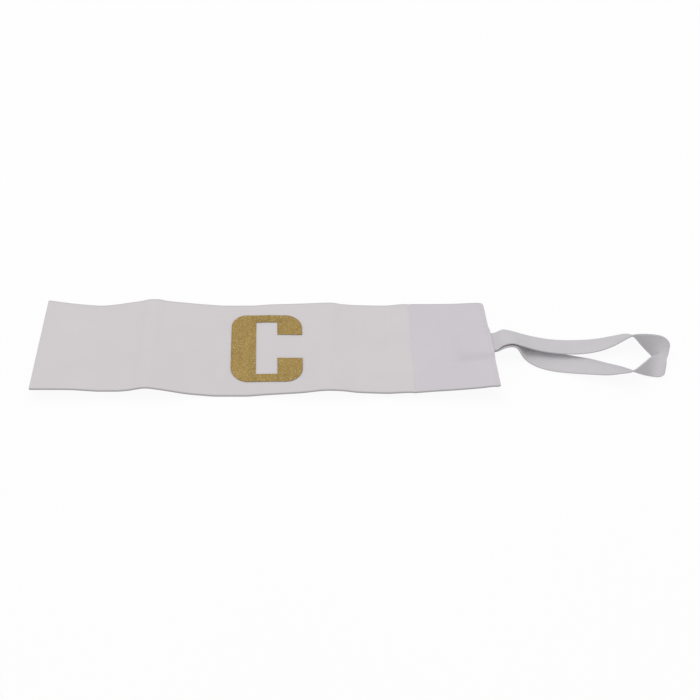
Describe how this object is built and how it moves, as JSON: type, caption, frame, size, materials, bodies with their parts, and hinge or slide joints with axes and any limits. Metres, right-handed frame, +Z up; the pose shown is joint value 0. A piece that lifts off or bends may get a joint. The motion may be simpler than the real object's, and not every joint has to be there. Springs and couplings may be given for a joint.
{
  "type": "captain armband",
  "caption": "Flat cloth captain armband with a glitter film letter and a narrow elastic loop sewn into one end, to be worn round the upper arm.",
  "frame": {"origin": "on the table, under the middle of the whole length and of the band's width", "axes": "+X along the band from its free end towards the elastic loop, +Y across the band towards the edge that is farther from the viewer, +Z up from the table out of the printed face"},
  "size_m": [0.3869, 0.0718, 0.015],
  "materials": {
    "band_cloth": "matt white woven cloth",
    "facing_cloth": "matt white woven cloth, second layer under the strap end",
    "elastic": "matt white ribbed braided elastic",
    "glitter_film": "gold and brown glitter heat-transfer film"
  },
  "bodies": {
    "root": {"band_panel": "band_cloth", "end_facing": "facing_cloth", "elastic_loop": "elastic", "letter_c": "glitter_film"}
  },
  "joints": []
}
